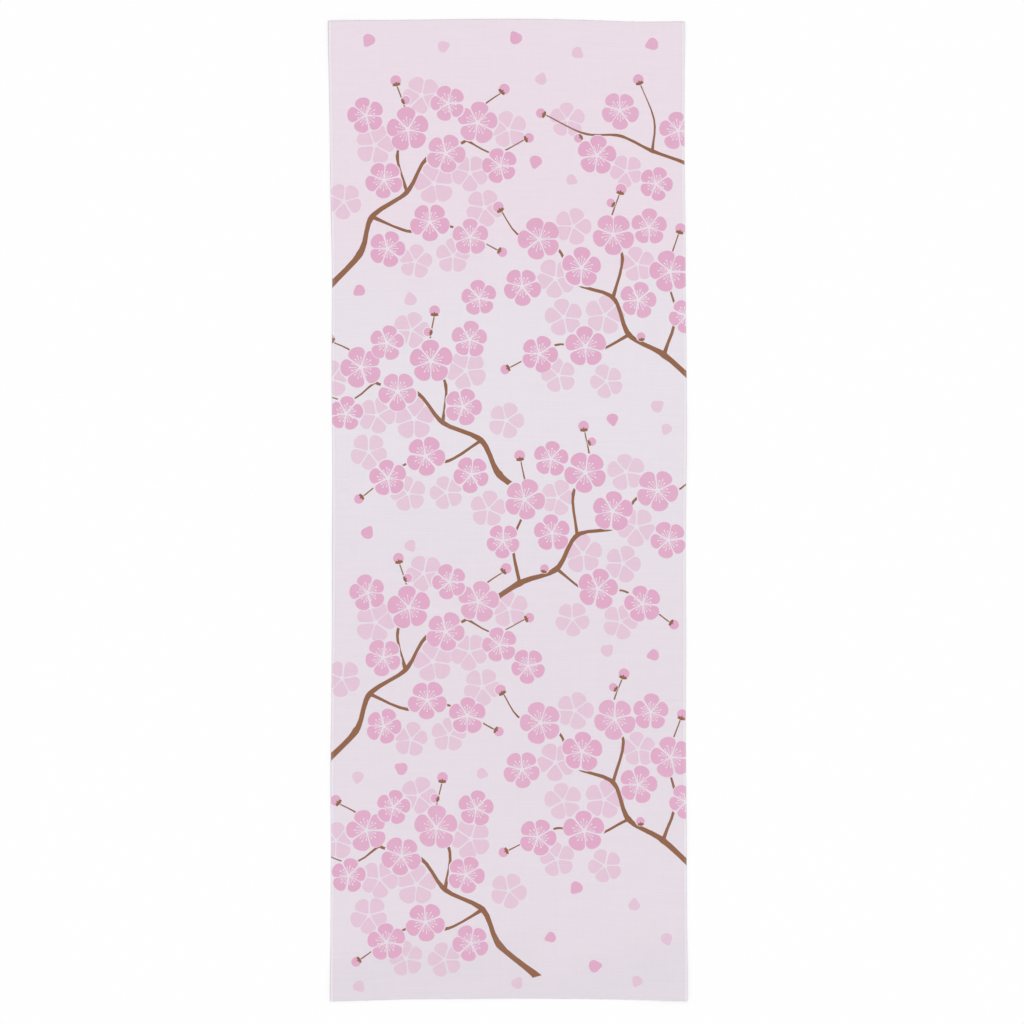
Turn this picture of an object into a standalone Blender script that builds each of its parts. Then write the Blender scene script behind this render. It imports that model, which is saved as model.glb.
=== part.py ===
"""A tenugui, the plain Japanese cotton hand towel, opened out at full length on a flat surface.

One cut length of cloth, printed side up. X runs across the towel, Y along it towards its top end,
and Z up. The origin is under the middle of the towel, on the surface that it lies on. Metres.
"""

import bmesh
import bpy
from mathutils import Vector

MM = 0.001

WIDTH = 330 * MM
LENGTH = 910 * MM
THICKNESS = 1 * MM

CELLS_ACROSS = 22
CELLS_ALONG = 60
GRID_HALF = 0.5
CREASE_ANGLE = 0.8

# How far each selvedge stands out (+) or is drawn in (-) from a straight side, at even steps from
# the bottom end to the top end. Millimetres.
SIDE_COLUMNS = ("left_out", "right_out")
SIDES = (
    (0.2, 1.9),
    (-0.4, 1.2),
    (-0.4, 0.4),
    (-1.4, 0.3),
    (-2.0, 0.4),
    (-1.3, 1.1),
    (-1.4, 0.0),
    (0.5, -0.9),
    (1.9, -0.7),
)
# The same for the cut ends, from the left selvedge to the right one. They follow the weft, which
# is bowed.
END_COLUMNS = ("bottom_out", "top_out")
ENDS = (
    (1.1, -0.7),
    (0.2, -0.1),
    (-0.8, 0.5),
    (-1.1, 1.0),
    (-1.4, 1.1),
    (-1.1, 0.8),
    (-0.7, -0.1),
    (0.0, -1.4),
    (1.1, -1.4),
)

# Where the cloth doesn't lie quite flat: low rounded lifts at the corners, along the selvedges and
# in the field. Each is placed by its middle and reaches out to an oval. Millimetres.
LIFT_COLUMNS = ("across", "along", "reach_across", "reach_along", "height")
LIFTS = (
    (-165, 455, 62, 70, 1.0),
    (165, 455, 50, 56, 0.7),
    (-165, -455, 52, 60, 0.7),
    (165, -455, 66, 74, 1.1),
    (-165, 285, 44, 58, 0.5),
    (-165, 130, 40, 66, 0.4),
    (-165, -35, 48, 76, 0.6),
    (-165, -245, 42, 60, 0.5),
    (165, 255, 42, 62, 0.5),
    (165, 55, 50, 72, 0.7),
    (165, -120, 40, 56, 0.4),
    (165, -290, 44, 64, 0.5),
    (12, 456, 84, 40, 0.4),
    (-38, -456, 76, 38, 0.5),
    (-46, 205, 92, 70, 0.3),
    (48, -98, 98, 64, 0.4),
    (-28, -318, 88, 72, 0.3),
)

COTTON_COLOUR = (0.79, 0.71, 0.79, 1)
COTTON_ROUGHNESS = 0.9


def clear_scene():
    for obj in list(bpy.data.objects):
        bpy.data.objects.remove(obj, do_unlink=True)


def smooth_step(share):
    return share * share * (3 - 2 * share)


def edge_out(table, columns, column, share):
    """How far an edge stands out at that share of its run: a smooth curve through its column."""
    outs = [dict(zip(columns, row))[column] for row in table]
    last = len(outs) - 1
    row = min(int(share * last), last - 1)
    rest = share * last - row
    low, high = outs[row], outs[row + 1]
    slope_at_low = (high - outs[max(row - 1, 0)]) / 2
    slope_at_high = (outs[min(row + 2, last)] - low) / 2
    out = low + (high - low) * smooth_step(rest)
    out += slope_at_low * rest * (1 - rest) ** 2
    out -= slope_at_high * rest**2 * (1 - rest)
    return out * MM


def outline_point(across, along):
    """The place in plan of a point of the cloth, from its shares of the width and of the length."""
    left = -WIDTH / 2 - edge_out(SIDES, SIDE_COLUMNS, "left_out", along)
    right = WIDTH / 2 + edge_out(SIDES, SIDE_COLUMNS, "right_out", along)
    bottom = -LENGTH / 2 - edge_out(ENDS, END_COLUMNS, "bottom_out", across)
    top = LENGTH / 2 + edge_out(ENDS, END_COLUMNS, "top_out", across)
    return left + (right - left) * across, bottom + (top - bottom) * along


def lift(x, y):
    """How far the cloth stands off the surface at that place."""
    height = 0
    for row in LIFTS:
        place = dict(zip(LIFT_COLUMNS, row))
        off_x = (x - place["across"] * MM) / (place["reach_across"] * MM)
        off_y = (y - place["along"] * MM) / (place["reach_along"] * MM)
        inside = max(0, 1 - off_x * off_x - off_y * off_y)
        height += place["height"] * MM * inside * inside
    return height


def cotton():
    material = bpy.data.materials.new("printed_cotton")
    material.use_nodes = True
    shader = material.node_tree.nodes["Principled BSDF"]
    shader.inputs["Base Color"].default_value = COTTON_COLOUR
    shader.inputs["Roughness"].default_value = COTTON_ROUGHNESS
    shader.inputs["Metallic"].default_value = 0
    return material


def towel_mesh():
    """The underside as a grid that follows the outline and the lifts, extruded up by the thickness."""
    cloth = bmesh.new()
    bmesh.ops.create_grid(cloth, x_segments=CELLS_ACROSS, y_segments=CELLS_ALONG, size=GRID_HALF)
    for vertex in cloth.verts:
        x, y = outline_point(vertex.co.x + GRID_HALF, vertex.co.y + GRID_HALF)
        vertex.co = Vector((x, y, lift(x, y)))
    bmesh.ops.triangulate(cloth, faces=cloth.faces[:])
    underside = cloth.faces[:]
    raised = bmesh.ops.extrude_face_region(cloth, geom=underside, use_keep_orig=True)
    top = [item for item in raised["geom"] if isinstance(item, bmesh.types.BMVert)]
    bmesh.ops.translate(cloth, verts=top, vec=(0, 0, THICKNESS))
    bmesh.ops.recalc_face_normals(cloth, faces=cloth.faces[:])
    mesh = bpy.data.meshes.new("towel")
    cloth.to_mesh(mesh)
    cloth.free()
    return mesh


def make_towel():
    mesh = towel_mesh()
    mesh.shade_smooth()
    mesh.set_sharp_from_angle(angle=CREASE_ANGLE)
    mesh.materials.append(cotton())
    towel = bpy.data.objects.new("towel", mesh)
    bpy.context.scene.collection.objects.link(towel)
    return towel


def main():
    clear_scene()
    make_towel()


main()
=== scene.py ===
"""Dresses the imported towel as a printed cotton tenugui, opened out flat with its printed face up.

The towel is one sheet of plain-weave cotton on the shape of the CAD towel, with a woven selvedge
along each side and a cut end at top and bottom. Its print is a half-drop repeat of plum sprigs that
runs over the selvedges, with loose petals in the open places. It is drawn on the flat cloth in
millimetres from the cloth's middle: a runs across the cloth and b along it. Lengths below are in
metres, with X across the towel, Y along it and Z up, except where millimetres are named.
"""

import math
import random

import bpy
import numpy as np
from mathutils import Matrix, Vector
from mathutils.geometry import delaunay_2d_cdt


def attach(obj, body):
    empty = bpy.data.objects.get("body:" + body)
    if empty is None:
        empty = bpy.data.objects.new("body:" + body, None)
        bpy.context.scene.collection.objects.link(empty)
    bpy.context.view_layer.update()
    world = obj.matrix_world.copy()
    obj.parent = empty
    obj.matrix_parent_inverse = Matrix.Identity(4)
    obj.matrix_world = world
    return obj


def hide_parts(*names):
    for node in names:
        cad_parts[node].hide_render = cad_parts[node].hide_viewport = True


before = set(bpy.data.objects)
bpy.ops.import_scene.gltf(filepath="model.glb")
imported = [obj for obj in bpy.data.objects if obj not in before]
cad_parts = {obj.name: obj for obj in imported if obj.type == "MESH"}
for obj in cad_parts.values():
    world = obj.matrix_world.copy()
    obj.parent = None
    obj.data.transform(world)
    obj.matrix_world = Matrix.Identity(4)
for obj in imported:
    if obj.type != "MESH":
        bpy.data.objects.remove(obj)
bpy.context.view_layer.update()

MM = 0.001

# The flat cloth, how far its edges stand out, and its lifts, as in the CAD. Millimetres.
WIDTH = 330
LENGTH = 910
SIDE_COLUMNS = ("left_out", "right_out")
SIDES = (
    (0.2, 1.9),
    (-0.4, 1.2),
    (-0.4, 0.4),
    (-1.4, 0.3),
    (-2.0, 0.4),
    (-1.3, 1.1),
    (-1.4, 0.0),
    (0.5, -0.9),
    (1.9, -0.7),
)
END_COLUMNS = ("bottom_out", "top_out")
ENDS = (
    (1.1, -0.7),
    (0.2, -0.1),
    (-0.8, 0.5),
    (-1.1, 1.0),
    (-1.4, 1.1),
    (-1.1, 0.8),
    (-0.7, -0.1),
    (0.0, -1.4),
    (1.1, -1.4),
)
LIFT_COLUMNS = ("across", "along", "reach_across", "reach_along", "height")
LIFTS = (
    (-165, 455, 62, 70, 1.0),
    (165, 455, 50, 56, 0.7),
    (-165, -455, 52, 60, 0.7),
    (165, -455, 66, 74, 1.1),
    (-165, 285, 44, 58, 0.5),
    (-165, 130, 40, 66, 0.4),
    (-165, -35, 48, 76, 0.6),
    (-165, -245, 42, 60, 0.5),
    (165, 255, 42, 62, 0.5),
    (165, 55, 50, 72, 0.7),
    (165, -120, 40, 56, 0.4),
    (165, -290, 44, 64, 0.5),
    (12, 456, 84, 40, 0.4),
    (-38, -456, 76, 38, 0.5),
    (-46, 205, 92, 70, 0.3),
    (48, -98, 98, 64, 0.4),
    (-28, -318, 88, 72, 0.3),
)

# The visible sheet. It stops short of the outline by what the weft's turns stand out from it at the
# selvedges, and the warp's cut threads at the ends. Millimetres.
CLOTH_THICKNESS = 0.45
CLOTH_CELL = 9
TURNS_OUT = 0.35
THREADS_OUT = 0.5
EDGE = WIDTH / 2 - TURNS_OUT
END = LENGTH / 2 - THREADS_OUT

# The camera looks straight down. Its picture is as wide as the photo's, and the towel's middle
# stands a little left of the picture's middle and a little above it.
PICTURE_WIDTH = 951.1 * MM
CAMERA_ACROSS = 3.7 * MM
CAMERA_ALONG = -1.7 * MM
LENS = 100
SENSOR = 36

SKY_STRENGTH = 0.8
SUN_STRENGTH = 1.0
SUN_SIZE = math.radians(50)
SUN_LEAN = math.radians(28)
SUN_FROM = math.radians(35)
FLOOR_SIZE = 30
FLOOR_DROP = 0.1 * MM
FLOOR_COLOUR = (0.92, 0.92, 0.92, 1)

# Inks as (pink, bark, ground): how much of each covers the bare cotton.
GROUND = (0, 0, 1)
STRONG = (1, 0, 1)
PALE = (0.5, 0, 1)
BARK = (0, 1, 1)
INKS = {"strong": STRONG, "pale": PALE}
INK_UNEVENNESS = (-0.07, 0.04)
# The print's layers in printing order, and the share of its strength that shows on the underside.
LAYERS = ("pale", "bark", "strong")
BACK_SHOWS = 0.45
PRINT_SEED = 33

# A blossom has five round petals. Shares are of its radius, and millimetres where named so.
PETALS = 5
PETAL_POINTS = 26
PETAL_POINTS_OUTWARD = 0.4
PETAL_MIDDLE = 0.56
PETAL_HALF_LENGTH = 0.44
PETAL_HALF_WIDTH = 0.40
PETAL_FULLNESS = 0.28
PETAL_GAP_MM = 1.3
PETAL_UNEVENNESS = 0.05
PETAL_LEAN = 2.5
RIM_MM = 0.9
RIM_POINTS_A_PETAL = 7
RIM_DIP = 0.13
RIM_DIP_SHARPNESS = 3
PINK_WITH_STAMENS = 0.7
STAMEN_TURNS = (-20, 0, 20)
STAMEN_LEAN = 3
STAMEN_START = 0.17
STAMEN_ENDS = (0.47, 0.56, 0.47)
STAMEN_WIDTH_MM = 0.55
ANTHER_MM = 0.85
# An anther's outline: how far past the stamen's tip and how far out, in sizes of the anther.
ANTHER_ROWS = ((-0.4, 0.9), (0.6, 0.7))

BUD_POINTS = 18
# One side of a bud's calyx, from its foot to its middle tip. A row is how far along the bud in
# millimetres, how many of its radii further, and how many of them out.
CALYX = (
    (-0.5, 0, 0),
    (0.3, 0, 0.62),
    (0.9, 0, 0.78),
    (0, 0.62, 0.5),
    (0, 0.5, 0.2),
    (0, 0.86, 0),
)

# Along each stretch of a twig: the share of the way, and how thick the twig is there.
TWIG_STEPS = ((0.0, 1.12), (0.1, 1.0), (0.3, 0.85), (0.55, 0.83), (0.8, 0.89), (0.92, 1.01))
TWIG_UNEVENNESS_MM = 0.28
TWIG_LEAST_HALF_MM = 0.3
ROOT_SLANT = 0.7

# Each sprig is drawn about its own middle. A twig is a row of (a, b, width), root first, a blossom
# is (a, b, width, turn, ink) and a bud is (a, b, turn, width). The spread moves them apart.
SPREAD = 1.18
RISING_TWIGS = (
    ((-84, -76, 6.5), (-55, -50, 5.7), (-43, -22, 5.0), (-14, -5, 4.2), (4, 20, 3.4), (36, 32, 2.6),
     (50, 56, 1.9), (68, 68, 1.2)),
    ((-14, -5, 3.4), (-19, 24, 2.6), (-9, 52, 1.9), (-15, 80, 1.1)),
    ((-43, -22, 3.3), (-14, -36, 2.6), (16, -34, 2.1), (55, -57, 1.2)),
    ((36, 32, 2.4), (58, 20, 1.7), (84, 30, 1.1)),
)
RISING_BLOSSOMS = (
    (-31, 6, 35, 44, "strong"),
    (-9, 44, 41, 21, "strong"),
    (19, 23, 37, 62, "strong"),
    (46, 45, 39, 5, "strong"),
    (61, 10, 33, 30, "strong"),
    (2, -30, 37, 51, "strong"),
    (33, -44, 35, 15, "strong"),
    (-33, -48, 34, 66, "strong"),
    (24, 62, 33, 33, "strong"),
    (-41, 58, 34, 28, "strong"),
    (-36, 34, 38, 0, "pale"),
    (8, 0, 39, 25, "pale"),
    (37, 6, 35, 50, "pale"),
    (-64, -8, 34, 44, "pale"),
    (18, -58, 33, 12, "pale"),
    (70, 38, 35, 24, "pale"),
    (-12, -60, 32, 5, "pale"),
    (4, 70, 35, 40, "pale"),
    (46, -22, 35, 58, "pale"),
)
RISING_BUDS = (
    (-15, 79, 96, 10),
    (66, 67, 42, 10),
    (82, 29, 20, 9),
    (-12, 66, 20, 8),
    (54, -56, 328, 9),
)
ARCHING_TWIGS = (
    ((88, -64, 6.4), (58, -40, 5.5), (30, -26, 4.8), (16, 2, 4.0), (-14, 12, 3.3), (-30, 38, 2.6),
     (-60, 46, 1.9), (-76, 66, 1.2)),
    ((58, -40, 3.6), (66, -8, 2.8), (58, 24, 2.1), (66, 58, 1.2)),
    ((16, 2, 3.3), (22, 34, 2.6), (12, 60, 1.9), (18, 86, 1.1)),
    ((30, -26, 3.1), (2, -42, 2.4), (-26, -38, 1.9), (-64, -59, 1.2)),
)
ARCHING_BLOSSOMS = (
    (60, 26, 39, 36, "strong"),
    (36, 2, 35, 8, "strong"),
    (14, 52, 39, 55, "strong"),
    (-10, 24, 38, 18, "strong"),
    (-44, 44, 40, 40, "strong"),
    (-56, 6, 35, 60, "strong"),
    (-4, -38, 39, 25, "strong"),
    (-40, -46, 35, 0, "strong"),
    (42, 60, 34, 20, "strong"),
    (74, -8, 32, 52, "strong"),
    (34, 30, 33, 30, "pale"),
    (-30, 14, 37, 52, "pale"),
    (10, -12, 37, 10, "pale"),
    (88, 16, 34, 20, "pale"),
    (-18, 56, 35, 3, "pale"),
    (-24, -62, 33, 34, "pale"),
    (14, -64, 32, 44, "pale"),
    (-22, -16, 35, 33, "pale"),
)
ARCHING_BUDS = (
    (66, 56, 78, 10),
    (18, 84, 80, 10),
    (-75, 64, 125, 10),
    (14, 75, 150, 8),
    (-63, -58, 210, 9),
    (40, -30, 100, 8),
)
SHORT_TWIGS = (
    ((92, -44, 4.6), (62, -22, 4.0), (34, -8, 3.3), (10, 6, 2.6), (-18, 10, 2.0), (-48, 28, 1.2)),
    ((34, -8, 2.4), (38, 16, 1.7), (30, 46, 1.1)),
)
SHORT_BLOSSOMS = (
    (56, 6, 36, 20, "strong"),
    (12, 26, 35, 50, "strong"),
    (-10, -8, 37, 5, "strong"),
    (34, -34, 32, 62, "strong"),
    (80, -20, 33, 33, "pale"),
    (-30, 22, 33, 14, "pale"),
    (12, -22, 31, 40, "pale"),
)
SHORT_BUDS = (
    (30, 45, 105, 10),
    (-47, 27, 150, 9),
    (-20, 8, 205, 8),
)

# Where the sprigs stand: across, along, turn in degrees, mirrored or not.
SPRIGS = (
    ("rising", -78, 302, 4, False),
    ("arching", 78, 196, -3, False),
    ("rising", -79, 85, -5, True),
    ("arching", 82, -28, 5, True),
    ("rising", -80, -142, 3, False),
    ("arching", 78, -254, -4, False),
    ("rising", -76, -348, -2, True),
    ("short", 94, 340, 6, False),
)
SINGLE_BLOSSOMS = (
    (-28, 196, 34, 24, "strong"),
    (18, -146, 33, 50, "strong"),
)

# Loose petals: across, along, length, the way that the tip points in degrees, and ink.
LOOSE_PETALS = (
    (-128, 436, 14, 60, "strong"),
    (-58, 430, 13, 200, "pale"),
    (8, 438, 14, 300, "strong"),
    (66, 424, 13, 140, "pale"),
    (134, 434, 14, 20, "strong"),
    (32, 400, 13, 250, "pale"),
    (26, 322, 14, 75, "strong"),
    (60, 306, 12, 155, "pale"),
    (-140, 204, 13, 35, "strong"),
    (-92, 196, 14, 280, "pale"),
    (138, 98, 14, 215, "pale"),
    (96, 84, 13, 100, "strong"),
    (146, 76, 12, 65, "pale"),
    (-132, -20, 14, 240, "strong"),
    (-92, -34, 13, 120, "pale"),
    (134, -134, 13, 15, "strong"),
    (92, -130, 14, 225, "pale"),
    (-140, -248, 13, 80, "pale"),
    (-100, -240, 14, 330, "strong"),
    (-24, -246, 12, 160, "pale"),
    (62, -352, 14, 50, "strong"),
    (116, -366, 13, 270, "pale"),
    (146, -398, 13, 110, "pale"),
    (38, -398, 12, 20, "strong"),
    (80, -424, 14, 190, "strong"),
    (118, -438, 12, 65, "pale"),
    (-138, -442, 13, 130, "pale"),
    (8, -440, 13, 240, "pale"),
)

# Linear colours of the cotton and of its inks.
COTTON = (0.870, 0.830, 0.870, 1)
GROUND_ROSE = (0.824, 0.722, 0.796, 1)
GROUND_COOL = (0.808, 0.752, 0.812, 1)
# The deep and foot grounds are darker partly by painted shade: the lower towel is shown less lit.
GROUND_DEEP_SHADED = (0.792, 0.718, 0.784, 1)
GROUND_FOOT_SHADED = (0.760, 0.696, 0.757, 1)
PINK_INK = (0.750, 0.408, 0.580, 1)
BARK_INK = (0.288, 0.129, 0.070, 1)

# How the ground's colour changes down the towel, which is rose at its top: where each change begins
# and ends, in metres along it, and the new colour. Besides the dye's own changes, the colours darken
# towards the foot as painted shade, as if less light reached the lower towel.
GROUND_AND_SHADE_CHANGES = (
    (0.27, 0.17, GROUND_COOL),
    (0.09, -0.15, GROUND_DEEP_SHADED),
    (-0.36, -0.46, GROUND_FOOT_SHADED),
)
GROUND_DRIFT = 0.14
BLOTCH_SIZE = 55 * MM
BLOTCH_DETAIL = 3.0

# The weave. A thread grows thicker and thinner over its run, and where the weft is thickest it is a
# slub.
WARP_PITCH = 0.42 * MM
WEFT_PITCH = 0.47 * MM
WEFT_RUN = 60 * MM
WARP_RUN = 110 * MM
THREAD_STEP = 3.7
WARP_PLANE = 9.0
THREAD_DETAIL = 1.0
SLUB = (0.66, 0.78)

# What the yarn, the weave and the blotches do to the tone, the ink and the roughness: how much each
# adds, and what there is without it.
WEFT_TONE = (0.075, 0.9625)
WARP_TONE = (0.045, 0.9775)
# Painted shade: the weave's hollows are darker than its crowns.
WEAVE_HOLLOW_SHADE = (0.10, 0.93)
SLUB_TONE = 0.02
INK_TAKE_UP = (0.14, 0.93)
CLOTH_ROUGHNESS = (0.12, 0.80)
SPECULAR = 0.25
SHEEN = 0.12
SHEEN_ROUGHNESS = 0.5

# The cloth's relief. The slubs and the thick yarn rise above the weave, in depths of the weave.
YARN_DEPTH = 0.11 * MM
SLUB_RISE = 0.4
THICK_YARN_RISE = 0.9
COCKLE_SIZE = (16 * MM, 24 * MM)
COCKLE_DETAIL = 2.0
COCKLE_DEPTH = 0.25 * MM

# The selvedge is woven closer and takes less ink. A faint line of painted shade on its inner side
# stands for a groove there.
SELVEDGE_FADE = (2.2 * MM, 3.0 * MM)
SELVEDGE_SPARED_GROUND = 0.5
SELVEDGE_SPARED_INK = 0.08
GROOVE_AT = 3.2 * MM
GROOVE_HALF = 0.7 * MM
GROOVE_SHADE = 0.035

# The bare yarn of the thread ends and of the selvedge's turns.
YARN_TWIST = 0.9 * MM
TWIST_DEPTH = YARN_TWIST / 8
TWIST_TONE = 0.03
PATCH_TONE = (0.06, 0.92)
PATCH_DETAIL = 2.0
YARN_ROUGHNESS = 0.88

# A thread at a cut end starts inside the edge and leans as it goes out. A few are longer. Its middle
# and its tip rise or sink a little. Millimetres, and shares of the reach and of the lean.
YARN_SEED = 7
END_THREAD_SIDES = 3
THREAD_INSIDE = 0.7
CUT_REACH = (0.2, 0.7)
LOOSE_REACH = (0.8, 1.6)
LOOSE_SHARE = 0.03
THREAD_LEAN = 0.35
MIDDLE_REACH = 0.4
MIDDLE_LEAN = 0.3
MIDDLE_RISE = (-0.04, 0.05)
TIP_RISE = (-0.08, 0.12)
THREAD_RADII = (0.13, 0.12, 0.05)

# A turn of the weft is half an oval. Millimetres.
TURN_SIDES = 4
TURN_POINTS = 5
TURN_INSIDE = 0.06
TURN_DEPTH = 0.26
TURN_RADIUS = 0.13

# Edges with a sharper bend than this aren't shaded smooth. Radians.
RIM_ANGLE = 0.9
# Where the cloth's faces lie on the map that holds both, and where a thread lies along its strip of
# the map, in shares of the map.
MAP_SLACK = 1.02
UNDER_START = 0.37
RIM_START = 0.75
RIM_STRIP = 0.02
THREAD_MARGIN = 0.02
THREAD_SHARE = 0.96


def smooth_step(share):
    return share * share * (3 - 2 * share)


def make_camera():
    data = bpy.data.cameras.new("camera")
    data.lens = LENS
    data.sensor_width = SENSOR
    camera = bpy.data.objects.new("camera", data)
    camera.location = (CAMERA_ACROSS, CAMERA_ALONG, PICTURE_WIDTH * LENS / SENSOR)
    bpy.context.scene.collection.objects.link(camera)
    bpy.context.scene.camera = camera


def plain_material(name, colour):
    """A matte colour without any shine."""
    material = bpy.data.materials.new(name)
    material.use_nodes = True
    shader = material.node_tree.nodes["Principled BSDF"]
    shader.inputs["Base Color"].default_value = colour
    shader.inputs["Roughness"].default_value = 1
    shader.inputs["Specular IOR Level"].default_value = 0
    return material


def make_light():
    """One broad soft light, even light from all round, and colours shown as they are."""
    sun = bpy.data.lights.new("softbox", "SUN")
    sun.energy = SUN_STRENGTH
    sun.angle = SUN_SIZE
    light = bpy.data.objects.new("softbox", sun)
    light.rotation_euler = (SUN_LEAN, 0, SUN_FROM)
    bpy.context.scene.collection.objects.link(light)

    world = bpy.data.worlds.new("studio")
    world.use_nodes = True
    background = world.node_tree.nodes["Background"]
    background.inputs["Color"].default_value = (1, 1, 1, 1)
    background.inputs["Strength"].default_value = SKY_STRENGTH
    bpy.context.scene.world = world
    bpy.context.scene.view_settings.view_transform = "Standard"


def make_floor():
    """The pale floor that the towel lies on."""
    half = FLOOR_SIZE / 2
    sides = ((-1, -1), (1, -1), (1, 1), (-1, 1))
    mesh = bpy.data.meshes.new("floor")
    mesh.from_pydata([(half * x, half * y, -FLOOR_DROP) for x, y in sides], [], [(0, 1, 2, 3)])
    mesh.materials.append(plain_material("floor_paint", FLOOR_COLOUR))
    floor = bpy.data.objects.new("floor", mesh)
    bpy.context.scene.collection.objects.link(floor)
    return floor


def edge_out(table, columns, column, share):
    """How far an edge stands out at those shares of its run: a smooth curve through its column."""
    outs = np.array([dict(zip(columns, row))[column] for row in table])
    last = len(outs) - 1
    share = np.clip(share, 0, 1)
    row = np.minimum((share * last).astype(int), last - 1)
    rest = share * last - row
    low, high = outs[row], outs[row + 1]
    slope_at_low = (high - outs[np.maximum(row - 1, 0)]) / 2
    slope_at_high = (outs[np.minimum(row + 2, last)] - low) / 2
    out = low + (high - low) * smooth_step(rest)
    out += slope_at_low * rest * (1 - rest) ** 2
    out -= slope_at_high * rest**2 * (1 - rest)
    return out


def lift(x, y):
    """How far the cloth stands off the surface at those places. Millimetres."""
    height = np.zeros(len(x))
    for row in LIFTS:
        place = dict(zip(LIFT_COLUMNS, row))
        off_x = (x - place["across"]) / place["reach_across"]
        off_y = (y - place["along"]) / place["reach_along"]
        inside = np.maximum(0, 1 - off_x**2 - off_y**2)
        height += place["height"] * inside**2
    return height


def laid(flat, above=0.0):
    """Where points of the flat cloth lie: rows of (x, y, z) in metres, `above` the underside."""
    flat = np.asarray(flat, float)
    across = flat[:, 0] / WIDTH + 1 / 2
    along = flat[:, 1] / LENGTH + 1 / 2
    left = -WIDTH / 2 - edge_out(SIDES, SIDE_COLUMNS, "left_out", along)
    right = WIDTH / 2 + edge_out(SIDES, SIDE_COLUMNS, "right_out", along)
    bottom = -LENGTH / 2 - edge_out(ENDS, END_COLUMNS, "bottom_out", across)
    top = LENGTH / 2 + edge_out(ENDS, END_COLUMNS, "top_out", across)
    x = left + (right - left) * across
    y = bottom + (top - bottom) * along
    return np.column_stack([x, y, lift(x, y) + above]) * MM


def turned(points, degrees, a=0.0, b=0.0, mirrored=False):
    """Flat points turned about their origin, mirrored across if asked, and moved to (a, b)."""
    turn = math.radians(degrees)
    cos, sin = math.cos(turn), math.sin(turn)
    out = np.asarray(points, float) @ np.array([[cos, sin], [-sin, cos]])
    if mirrored:
        out = out * (-1, 1)
    return out + (a, b)


def anticlockwise(outline):
    """The outline's points in the order that has its inside on the left."""
    outline = np.asarray(outline, float)
    following = np.roll(outline, -1, axis=0)
    twice_area = np.sum(outline[:, 0] * following[:, 1] - following[:, 0] * outline[:, 1])
    return outline if twice_area > 0 else outline[::-1]


def petal_shape(radius, gap):
    """A petal that points along +a, with its blossom's middle at the origin."""
    half_angle = math.pi / PETALS
    points = []
    for step in range(PETAL_POINTS):
        angle = 2 * math.pi * step / PETAL_POINTS
        angle -= PETAL_POINTS_OUTWARD * math.sin(angle)
        out = radius * (PETAL_MIDDLE + PETAL_HALF_LENGTH * math.cos(angle))
        fullness = 1 + PETAL_FULLNESS * math.cos(angle)
        half_width = radius * PETAL_HALF_WIDTH * abs(math.sin(angle)) * fullness
        wedge = (out * math.sin(half_angle) - gap / 2) / math.cos(half_angle)
        points.append((out, math.copysign(max(0, min(half_width, wedge)), math.sin(angle))))
    return points


def rim_shape(radius):
    """The five-lobed patch of bare ground that a blossom stands on."""
    count = PETALS * RIM_POINTS_A_PETAL
    points = []
    for step in range(count):
        angle = 2 * math.pi * step / count
        dip = abs(math.sin(angle * PETALS / 2)) ** RIM_DIP_SHARPNESS * RIM_DIP
        out = (radius + RIM_MM) * (1 - dip)
        points.append((out * math.cos(angle), out * math.sin(angle)))
    return points


def disc_shape(radius, a):
    """A round outline of that radius about (a, 0)."""
    turns = [2 * math.pi * step / BUD_POINTS for step in range(BUD_POINTS)]
    return [(a + radius * math.cos(turn), radius * math.sin(turn)) for turn in turns]


def stamen_shape(start, tip):
    """A stamen that points along +a: a thin line with a round anther."""
    half = STAMEN_WIDTH_MM / 2
    side = [(start, half), (tip - ANTHER_MM, half)]
    side += [(tip + past * ANTHER_MM, out * ANTHER_MM) for past, out in ANTHER_ROWS]
    return [(a, -b) for a, b in side] + side[::-1]


def blossom_shapes(radius, ink, rng):
    """A blossom about its own middle, as (points, ink) in printing order."""
    shapes = [(rim_shape(radius), GROUND)]
    for petal in range(PETALS):
        turn = 360 / PETALS * petal
        size = radius * (1 + rng.uniform(-PETAL_UNEVENNESS, PETAL_UNEVENNESS / 2))
        lean = rng.uniform(-PETAL_LEAN, PETAL_LEAN)
        shapes.append((turned(petal_shape(size, PETAL_GAP_MM), turn + lean), ink))
    if ink[0] < PINK_WITH_STAMENS:
        return shapes
    for petal in range(PETALS):
        for stamen, end in zip(STAMEN_TURNS, STAMEN_ENDS):
            turn = 360 / PETALS * petal + stamen + rng.uniform(-STAMEN_LEAN, STAMEN_LEAN)
            shapes.append((turned(stamen_shape(radius * STAMEN_START, radius * end), turn), GROUND))
    return shapes


def rounded_run(path):
    """Rows along a smooth curve through the path's rows, with TWIG_STEPS to each stretch."""
    padded = np.concatenate([[2 * path[0] - path[1]], path, [2 * path[-1] - path[-2]]])
    run = []
    for before, start, end, after in zip(padded, padded[1:], padded[2:], padded[3:]):
        for share, thickness in TWIG_STEPS:
            row = start + (end - start) * smooth_step(share)
            row = row + (end - before) / 2 * share * (1 - share) ** 2
            row = row - (after - start) / 2 * share**2 * (1 - share)
            run.append(row * (1, 1, thickness))
    run.append(path[-1])
    return np.array(run)


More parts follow.
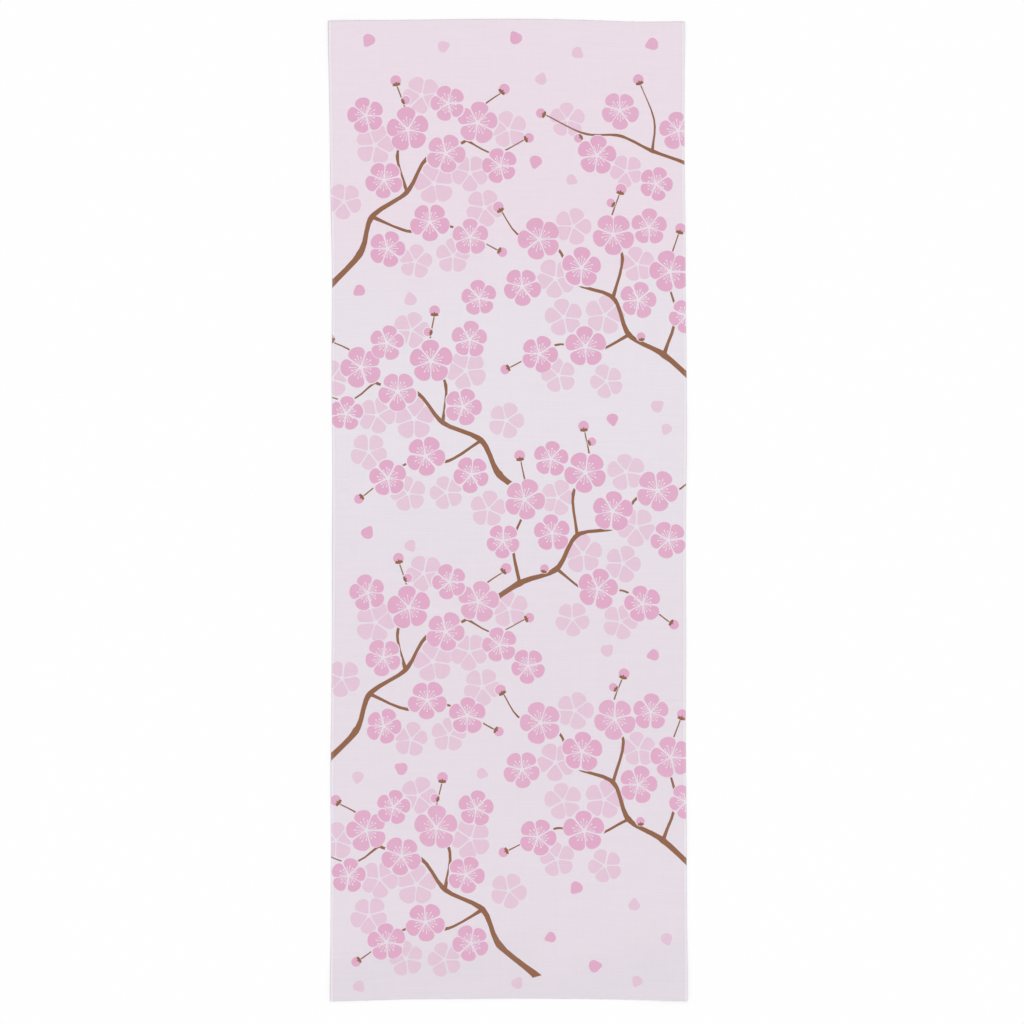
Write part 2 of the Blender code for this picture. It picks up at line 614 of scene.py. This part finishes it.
def twig_shape(path, rng):
    """A twig's outline: both sides of its path, knotty where it bends, cut slantwise at its root."""
    run = rounded_run(np.asarray(path, float) * (SPREAD, SPREAD, 1))
    places, widths = run[:, :2], run[:, 2]
    ahead = np.gradient(places, axis=0)
    ahead /= np.linalg.norm(ahead, axis=1)[:, None]
    beside = np.column_stack([-ahead[:, 1], ahead[:, 0]])
    sides = []
    for side in (1, -1):
        rough = np.array([rng.uniform(-TWIG_UNEVENNESS_MM, TWIG_UNEVENNESS_MM) for _ in widths])
        half = widths / 2 + rough * np.minimum(widths / widths[0], 1)
        out = np.maximum(half, TWIG_LEAST_HALF_MM)
        line = places + beside * (side * out)[:, None]
        line[0] -= ahead[0] * side * widths[0] / 2 * ROOT_SLANT
        sides.append(line)
    return np.concatenate([sides[0], sides[1][::-1]])


def calyx_shape(radius):
    """The calyx of a bud that points along +a from its foot."""
    side = [(mm + radii * radius, -out * radius) for mm, radii, out in CALYX]
    return side + [(a, -b) for a, b in side[-2:0:-1]]


def bud_shapes(size, ink):
    """A round bud that points along +a, as (points, ink) in printing order."""
    radius = size / 2
    rim = disc_shape(radius + RIM_MM, radius)
    bud = disc_shape(radius, radius)
    return [(rim, GROUND), (bud, ink), (calyx_shape(radius), BARK)]


def inked(ink, rng):
    """That ink as it came out on one motif, a little fuller or thinner."""
    pink = ink[0] * (1 + rng.uniform(*INK_UNEVENNESS))
    return (pink, ink[1], ink[2])


def sprig_layers(twigs, blossoms, buds, rng):
    """One sprig about its own middle, as (points, ink) in printing order in each of its layers."""
    layers = {name: [] for name in LAYERS}
    for a, b, size, turn, name in blossoms:
        for points, ink in blossom_shapes(size / 2, inked(INKS[name], rng), rng):
            layers[name].append((turned(points, turn, a * SPREAD, b * SPREAD), ink))
    for path in twigs:
        layers["bark"].append((twig_shape(path, rng), BARK))
    for a, b, turn, size in buds:
        for points, ink in bud_shapes(size, STRONG):
            layers["bark"].append((turned(points, turn, a * SPREAD, b * SPREAD), ink))
    return layers


def print_shapes():
    """Everything that is printed, as (points, ink) on the flat cloth, in printing order."""
    rng = random.Random(PRINT_SEED)
    sprigs = {
        "rising": (RISING_TWIGS, RISING_BLOSSOMS, RISING_BUDS),
        "arching": (ARCHING_TWIGS, ARCHING_BLOSSOMS, ARCHING_BUDS),
        "short": (SHORT_TWIGS, SHORT_BLOSSOMS, SHORT_BUDS),
    }
    layers = {name: [] for name in LAYERS}
    for sprig, a, b, turn, mirrored in SPRIGS:
        for name, shapes in sprig_layers(*sprigs[sprig], rng).items():
            layers[name] += [(turned(points, turn, a, b, mirrored), ink) for points, ink in shapes]
    for a, b, size, turn, name in SINGLE_BLOSSOMS:
        for points, ink in blossom_shapes(size / 2, inked(INKS[name], rng), rng):
            layers[name].append((turned(points, turn, a, b), ink))
    for a, b, length, turn, name in LOOSE_PETALS:
        petal = np.asarray(petal_shape(length, 0)) - (length * PETAL_MIDDLE, 0)
        layers[name].append((turned(petal, turn, a, b), inked(INKS[name], rng)))
    return [shape for name in LAYERS for shape in layers[name]]


def cloth_outline(cells_across, cells_along):
    """The flat cloth's outline, with a point at each cell."""
    across = np.linspace(-EDGE, EDGE, cells_across + 1)
    along = np.linspace(-END, END, cells_along + 1)
    points = [(a, -END) for a in across[:-1]] + [(EDGE, b) for b in along[:-1]]
    points += [(a, END) for a in across[:0:-1]] + [(-EDGE, b) for b in along[:0:-1]]
    return points


def flat_triangles(shapes):
    """Cuts the flat cloth into triangles along every printed edge.

    Returns the points, the triangles and each triangle's ink, which is that of the last shape
    printed there.
    """
    cells_across, cells_along = round(WIDTH / CLOTH_CELL), round(LENGTH / CLOTH_CELL)
    printed = [(cloth_outline(cells_across, cells_along), GROUND)] + shapes
    points, faces = [], []
    for outline, _ in printed:
        faces.append(list(range(len(points), len(points) + len(outline))))
        points.extend(anticlockwise(outline))
    for a in np.linspace(-EDGE, EDGE, cells_across + 1)[1:-1]:
        for b in np.linspace(-END, END, cells_along + 1)[1:-1]:
            points.append((a, b))
    coords = [Vector((float(a), float(b))) for a, b in points]
    inside_of_faces, closeness = 1, 1e-4
    out = delaunay_2d_cdt(coords, [], faces, inside_of_faces, closeness, True)
    flat, _, triangles, _, _, covers = out
    kept, inks = [], []
    for triangle, over in zip(triangles, covers):
        if 0 in over:
            kept.append(tuple(triangle))
            inks.append(printed[max(over)][1])
    return np.array([tuple(p) for p in flat]), kept, inks


def outer_edges(triangles):
    """The edges that only one triangle has, each in that triangle's direction."""
    once = {}
    for corners in triangles:
        for start, end in zip(corners, corners[1:] + corners[:1]):
            if (end, start) in once:
                del once[(end, start)]
            else:
                once[(start, end)] = True
    return list(once)


def add_face_inks(mesh, inks):
    """Gives each face its ink, which the cotton reads."""
    layer = mesh.attributes.new("print", "FLOAT_VECTOR", "FACE")
    layer.data.foreach_set("vector", np.asarray(inks, np.float32).ravel())


def make_cloth():
    """The printed sheet: a top and an underside with the same triangles, joined round the rim."""
    flat, triangles, inks = flat_triangles(print_shapes())
    used = np.unique(np.array(triangles))
    number = np.full(len(flat), -1)
    number[used] = np.arange(len(used))
    flat = flat[used]
    top = [tuple(int(number[corner]) for corner in triangle) for triangle in triangles]
    count = len(flat)
    under = [(a + count, c + count, b + count) for a, b, c in top]
    rim = [(a + count, b + count, b, a) for a, b in outer_edges(top)]
    places = np.concatenate([laid(flat, CLOTH_THICKNESS), laid(flat)])

    mesh = bpy.data.meshes.new("towel_cloth")
    mesh.from_pydata(places, [], top + under + rim)
    mesh.shade_smooth()
    mesh.set_sharp_from_angle(angle=RIM_ANGLE)

    top_inks = np.array(inks, float)
    under_inks = top_inks * BACK_SHOWS
    rim_inks = np.tile(np.array(GROUND) * BACK_SHOWS, (len(rim), 1))
    add_face_inks(mesh, np.concatenate([top_inks, under_inks, rim_inks]))
    add_cloth_maps(mesh, flat, len(top))

    cloth = bpy.data.objects.new("towel_cloth", mesh)
    bpy.context.scene.collection.objects.link(cloth)
    mesh.materials.append(cotton_cloth())
    return cloth


def add_cloth_maps(mesh, flat, tops):
    """Two maps: the flat cloth in metres, for the weave, and both faces side by side on one map."""
    corners = np.zeros(len(mesh.loops), np.int32)
    mesh.loops.foreach_get("vertex_index", corners)
    number = corners % len(flat)
    under = corners >= len(flat)
    weave_map = mesh.uv_layers.new(name="flat_cloth")
    weave_map.data.foreach_set("uv", (flat[number] * MM).astype(np.float32).ravel())

    whole = LENGTH * MAP_SLACK
    across = (flat[number, 0] + WIDTH / 2) / whole
    along = (flat[number, 1] + LENGTH / 2) / whole
    across[under] = UNDER_START - across[under] + WIDTH / whole
    # The triangles of the two faces come first, and then the rim.
    corners_on_faces = tops * 3 * 2
    rims = np.arange(len(corners)) >= corners_on_faces
    strip = RIM_START + RIM_STRIP * (1 + np.sign(flat[number, 0])) + RIM_STRIP / 2 * under
    across[rims] = strip[rims]
    bake_map = mesh.uv_layers.new(name="OFBake")
    bake_map.data.foreach_set("uv", np.column_stack([across, along]).astype(np.float32).ravel())


class Shading:
    """Adds nodes to one material. A value is a number, a colour or another node's output."""

    def __init__(self, name):
        self.material = bpy.data.materials.new(name)
        self.material.use_nodes = True
        self.tree = self.material.node_tree
        self.shader = self.tree.nodes["Principled BSDF"]

    def feed(self, socket, value):
        if isinstance(value, bpy.types.NodeSocket):
            self.tree.links.new(value, socket)
        else:
            socket.default_value = value

    def node(self, kind, inputs, **settings):
        made = self.tree.nodes.new(kind)
        for name, value in settings.items():
            setattr(made, name, value)
        for name, value in inputs.items():
            self.feed(made.inputs[name], value)
        return made

    def math(self, operation, *values):
        return self.node("ShaderNodeMath", dict(enumerate(values)), operation=operation).outputs[0]

    def between(self, share, low, high):
        """The colour that is that share of the way from low to high."""
        share_socket, low_socket, high_socket, colour_out = 0, 6, 7, 2
        inputs = {share_socket: share, low_socket: low, high_socket: high}
        return self.node("ShaderNodeMix", inputs, data_type="RGBA").outputs[colour_out]

    def spread(self, value, low, high, new_low, new_high):
        """The value's range from low to high, moved smoothly to the new one."""
        inputs = dict(enumerate((value, low, high, new_low, new_high)))
        return self.node("ShaderNodeMapRange", inputs, interpolation_type="SMOOTHSTEP").outputs[0]

    def place(self, x, y, z=0.0):
        return self.node("ShaderNodeCombineXYZ", dict(enumerate((x, y, z)))).outputs[0]

    def parts(self, place):
        """The place's x, y and z."""
        return self.node("ShaderNodeSeparateXYZ", {0: place}).outputs

    def noise(self, place, detail):
        inputs = {"Vector": place, "Scale": 1.0, "Detail": detail}
        return self.node("ShaderNodeTexNoise", inputs).outputs[0]

    def patches(self, across, along, size_across, size_along, detail):
        """Noise over the cloth, with patches of about that size."""
        x = self.math("DIVIDE", across, size_across)
        y = self.math("DIVIDE", along, size_along)
        return self.noise(self.place(x, y), detail)

    def dimmed(self, colour, share):
        inputs = {"Vector": colour, "Scale": share}
        return self.node("ShaderNodeVectorMath", inputs, operation="SCALE").outputs[0]

    def bump(self, height, depth, under=None):
        inputs = {"Height": height, "Distance": depth, "Strength": 1.0}
        if under is not None:
            inputs["Normal"] = under
        return self.node("ShaderNodeBump", inputs).outputs[0]


def plain_weave(shade, across, along):
    """The weave's height from 0 to 1 at that place, and the numbers of its warp and weft threads."""
    crowns, numbers = [], []
    for place, pitch in ((across, WARP_PITCH), (along, WEFT_PITCH)):
        threads = shade.math("DIVIDE", place, pitch)
        number = shade.math("ROUND", threads)
        off = shade.math("SUBTRACT", threads, number)
        crowns.append(shade.math("COSINE", shade.math("MULTIPLY", off, math.pi)))
        numbers.append(number)
    warp_crown, weft_crown = crowns
    odd = shade.math("FLOORED_MODULO", shade.math("ADD", *numbers), 2)
    over = shade.math("MULTIPLY_ADD", odd, -1, 0.5)
    warp_rise = shade.math("MULTIPLY_ADD", over, weft_crown, 0.5)
    weft_rise = shade.math("SUBTRACT", 0.5, shade.math("MULTIPLY", over, warp_crown))
    warp_height = shade.math("MULTIPLY", warp_crown, warp_rise)
    weft_height = shade.math("MULTIPLY", weft_crown, weft_rise)
    return shade.math("MAXIMUM", warp_height, weft_height), *numbers


def uneven_yarn(shade, across, along, warp_number, weft_number):
    """How thick the weft's thread and the warp's thread are at that place, each from 0 to 1."""
    weft_run = shade.math("DIVIDE", across, WEFT_RUN)
    warp_run = shade.math("DIVIDE", along, WARP_RUN)
    weft_place = shade.place(weft_run, shade.math("MULTIPLY", weft_number, THREAD_STEP))
    warp_place = shade.place(shade.math("MULTIPLY", warp_number, THREAD_STEP), warp_run, WARP_PLANE)
    return shade.noise(weft_place, THREAD_DETAIL), shade.noise(warp_place, THREAD_DETAIL)


def selvedge_and_groove_shade(shade, across):
    """How far a place is on the selvedge, and how far in the groove's line of painted shade, each
    from 0 to 1.
    """
    from_side = shade.math("SUBTRACT", WIDTH / 2 * MM, shade.math("ABSOLUTE", across))
    off_groove = shade.math("ABSOLUTE", shade.math("SUBTRACT", from_side, GROOVE_AT))
    selvedge = shade.spread(from_side, *SELVEDGE_FADE, 1.0, 0.0)
    return selvedge, shade.spread(off_groove, 0.0, GROOVE_HALF, 1.0, 0.0)


def ground_and_shade_colour(shade, along, blotch):
    """The ground, which changes slowly down the towel, not quite evenly, and darkens towards the
    foot with painted shade.
    """
    off_middle = shade.math("SUBTRACT", blotch, 0.5)
    down = shade.math("MULTIPLY_ADD", off_middle, GROUND_DRIFT, along)
    ground = GROUND_ROSE
    for begins, ends, new_colour in GROUND_AND_SHADE_CHANGES:
        ground = shade.between(shade.spread(down, begins, ends, 0.0, 1.0), ground, new_colour)
    return ground


def printed_colour(shade, ground, blotch, selvedge):
    """Cotton with its ground and its inks, which cover it unevenly and the selvedge less."""
    inks = shade.node("ShaderNodeAttribute", {}, attribute_name="print").outputs["Vector"]
    pink, bark, tint = shade.parts(inks)
    ground_taken = shade.math("MULTIPLY_ADD", selvedge, -SELVEDGE_SPARED_GROUND, 1.0)
    ink_taken = shade.math("MULTIPLY_ADD", selvedge, -SELVEDGE_SPARED_INK, 1.0)
    take_up = shade.math("MULTIPLY", ink_taken, shade.math("MULTIPLY_ADD", blotch, *INK_TAKE_UP))
    colour = shade.between(shade.math("MULTIPLY", tint, ground_taken), COTTON, ground)
    colour = shade.between(shade.math("MULTIPLY", pink, take_up), colour, PINK_INK)
    return shade.between(shade.math("MULTIPLY", bark, take_up), colour, BARK_INK)


def cloth_tone_and_shade(shade, weave, weft_yarn, warp_yarn, slub, groove_shade):
    """How light the cloth is. Uneven yarn catches more or less light, and painted shade darkens the
    weave's hollows and the selvedge's groove.
    """
    tone = shade.math("MULTIPLY_ADD", weft_yarn, *WEFT_TONE)
    tone = shade.math("MULTIPLY", tone, shade.math("MULTIPLY_ADD", warp_yarn, *WARP_TONE))
    tone = shade.math("MULTIPLY", tone, shade.math("MULTIPLY_ADD", weave, *WEAVE_HOLLOW_SHADE))
    tone = shade.math("MULTIPLY_ADD", slub, SLUB_TONE, tone)
    return shade.math("MULTIPLY_ADD", groove_shade, -GROOVE_SHADE, tone)


def cotton_cloth():
    """Plain-weave cotton of uneven yarn, with its ground and its inks printed on one face."""
    shade = Shading("printed_cotton")
    flat = shade.node("ShaderNodeUVMap", {}, uv_map="flat_cloth").outputs[0]
    across, along, _ = shade.parts(flat)
    weave, *numbers = plain_weave(shade, across, along)
    weft_yarn, warp_yarn = uneven_yarn(shade, across, along, *numbers)
    slub = shade.spread(weft_yarn, *SLUB, 0.0, 1.0)
    blotch = shade.patches(across, along, BLOTCH_SIZE, BLOTCH_SIZE, BLOTCH_DETAIL)
    selvedge, groove_shade = selvedge_and_groove_shade(shade, across)

    tone = cloth_tone_and_shade(shade, weave, weft_yarn, warp_yarn, slub, groove_shade)
    colour = printed_colour(shade, ground_and_shade_colour(shade, along, blotch), blotch, selvedge)
    shade.feed(shade.shader.inputs["Base Color"], shade.dimmed(colour, tone))

    rough = shade.math("MULTIPLY_ADD", weft_yarn, *CLOTH_ROUGHNESS)
    shade.feed(shade.shader.inputs["Roughness"], rough)
    shade.shader.inputs["Specular IOR Level"].default_value = SPECULAR
    shade.shader.inputs["Sheen Weight"].default_value = SHEEN
    shade.shader.inputs["Sheen Roughness"].default_value = SHEEN_ROUGHNESS

    cockle = shade.patches(across, along, *COCKLE_SIZE, COCKLE_DETAIL)
    height = shade.math("MULTIPLY_ADD", slub, SLUB_RISE, weave)
    height = shade.math("MULTIPLY_ADD", weft_yarn, THICK_YARN_RISE, height)
    relief = shade.bump(height, YARN_DEPTH, shade.bump(cockle, COCKLE_DEPTH))
    shade.feed(shade.shader.inputs["Normal"], relief)
    return shade.material


def cotton_yarn():
    """Unprinted cotton yarn, twisted, for the thread ends and the turns of the selvedge."""
    shade = Shading("cotton_yarn")
    yarn = shade.node("ShaderNodeUVMap", {}, uv_map="yarn").outputs[0]
    round_it, down_it, _ = shade.parts(yarn)
    turns = shade.math("MULTIPLY_ADD", down_it, 1 / YARN_TWIST, round_it)
    twist = shade.math("SINE", shade.math("MULTIPLY", turns, 2 * math.pi))
    patchy = shade.noise(shade.node("ShaderNodeTexCoord", {}).outputs["Object"], PATCH_DETAIL)
    tone = shade.math("MULTIPLY_ADD", patchy, *PATCH_TONE)
    tone = shade.math("MULTIPLY_ADD", twist, TWIST_TONE, tone)
    shade.feed(shade.shader.inputs["Base Color"], shade.dimmed(COTTON[:3], tone))
    shade.feed(shade.shader.inputs["Normal"], shade.bump(twist, TWIST_DEPTH))
    shade.shader.inputs["Roughness"].default_value = YARN_ROUGHNESS
    shade.shader.inputs["Specular IOR Level"].default_value = SPECULAR
    shade.shader.inputs["Sheen Weight"].default_value = SHEEN
    return shade.material


def thread_rings(line, radii, sides):
    """A thread's points ring by ring, and how far along the thread each ring is."""
    ahead = np.gradient(line, axis=0)
    ahead /= np.linalg.norm(ahead, axis=1)[:, None]
    level = np.cross(ahead, (0, 0, 1))
    level /= np.linalg.norm(level, axis=1)[:, None]
    upward = np.cross(level, ahead)
    points = []
    for ring, radius in enumerate(radii):
        for side in range(sides):
            turn = 2 * math.pi * side / sides
            off = level[ring] * math.cos(turn) + upward[ring] * math.sin(turn)
            points.append(line[ring] + off * radius)
    steps = np.linalg.norm(np.diff(line, axis=0), axis=1)
    return points, np.concatenate([[0], np.cumsum(steps)])


def thread_faces(runs, sides):
    """A thread's faces, closed at both ends. A face's corner is (point, share round it, ring).

    The share is None on the two end faces.
    """
    last = len(runs) - 1
    faces = []
    for ring in range(last):
        for side in range(sides):
            turns = ((0, ring), (1, ring), (1, ring + 1), (0, ring + 1))
            faces.append([
                (at * sides + (side + out) % sides, (side + out) / sides, at) for out, at in turns
            ])
    for ring, order in ((0, reversed(range(sides))), (last, range(sides))):
        faces.append([(ring * sides + side, None, ring) for side in order])
    return faces


def yarn_piece(name, threads, sides, material):
    """Joins threads into one piece. A thread is (rows of x, y, z in metres, radii in metres)."""
    places, faces, maps, bakes = [], [], [], []
    share = 1 / len(threads)
    for order, (line, radii) in enumerate(threads):
        first = len(places)
        points, runs = thread_rings(line, radii, sides)
        places += points
        for face in thread_faces(runs, sides):
            faces.append([first + point for point, _, _ in face])
            for _, round_it, ring in face:
                at_cap = round_it is None
                maps.append((0 if at_cap else round_it, runs[ring]))
                down = THREAD_MARGIN + THREAD_SHARE * ring / (len(runs) - 1)
                bakes.append((down, (order + (0.5 if at_cap else round_it)) * share))
    mesh = bpy.data.meshes.new(name)
    mesh.from_pydata(places, [], faces)
    mesh.shade_smooth()
    mesh.uv_layers.new(name="yarn").data.foreach_set("uv", np.array(maps, np.float32).ravel())
    mesh.uv_layers.new(name="OFBake").data.foreach_set("uv", np.array(bakes, np.float32).ravel())
    mesh.materials.append(material)
    piece = bpy.data.objects.new(name, mesh)
    bpy.context.scene.collection.objects.link(piece)
    return piece


def cut_end_threads(end, rng):
    """The warp's short frayed ends along a cut end, where `end` is 1 at the top and -1 below."""
    threads = []
    pitch = WARP_PITCH / MM
    edge = END * end
    for number in range(int(WIDTH / pitch)):
        a = -WIDTH / 2 + pitch * (number + 1 / 2)
        reach = rng.uniform(*(CUT_REACH if rng.random() > LOOSE_SHARE else LOOSE_REACH))
        lean = rng.uniform(-THREAD_LEAN, THREAD_LEAN)
        start = (a, edge - THREAD_INSIDE * end)
        middle = (a + lean * MIDDLE_LEAN, edge + MIDDLE_REACH * reach * end)
        tip = (a + lean, edge + reach * end)
        line = laid([start, middle, tip], CLOTH_THICKNESS / 2)
        line[:, 2] += np.array([0, rng.uniform(*MIDDLE_RISE), rng.uniform(*TIP_RISE)]) * MM
        threads.append((line, np.array(THREAD_RADII) * MM))
    return threads


def selvedge_turns(side):
    """The weft's turns along a selvedge, where `side` is 1 at the right and -1 at the left."""
    threads = []
    pitch = WEFT_PITCH / MM
    bends = np.radians(np.linspace(-90, 90, TURN_POINTS))
    for number in range(int(LENGTH / pitch / 2)):
        middle = -LENGTH / 2 + pitch * (2 * number + 1)
        flat = []
        for bend in bends:
            out = EDGE - TURN_INSIDE + TURN_DEPTH * math.cos(bend)
            flat.append((side * out, middle + pitch / 2 * math.sin(bend)))
        line = laid(flat, CLOTH_THICKNESS / 2)
        threads.append((line, np.full(TURN_POINTS, TURN_RADIUS) * MM))
    return threads


def make_yarns():
    rng = random.Random(YARN_SEED)
    yarn = cotton_yarn()
    return [
        yarn_piece("top_end_threads", cut_end_threads(1, rng), END_THREAD_SIDES, yarn),
        yarn_piece("bottom_end_threads", cut_end_threads(-1, rng), END_THREAD_SIDES, yarn),
        yarn_piece("left_selvedge_turns", selvedge_turns(-1), TURN_SIDES, yarn),
        yarn_piece("right_selvedge_turns", selvedge_turns(1), TURN_SIDES, yarn),
    ]


def declare(cloth, yarns):
    """Says what each piece rides on and replaces."""
    for piece in (cloth, *yarns):
        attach(piece, "root")
        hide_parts("towel")


def main():
    make_camera()
    make_light()
    floor = make_floor()
    declare(make_cloth(), make_yarns())


main()
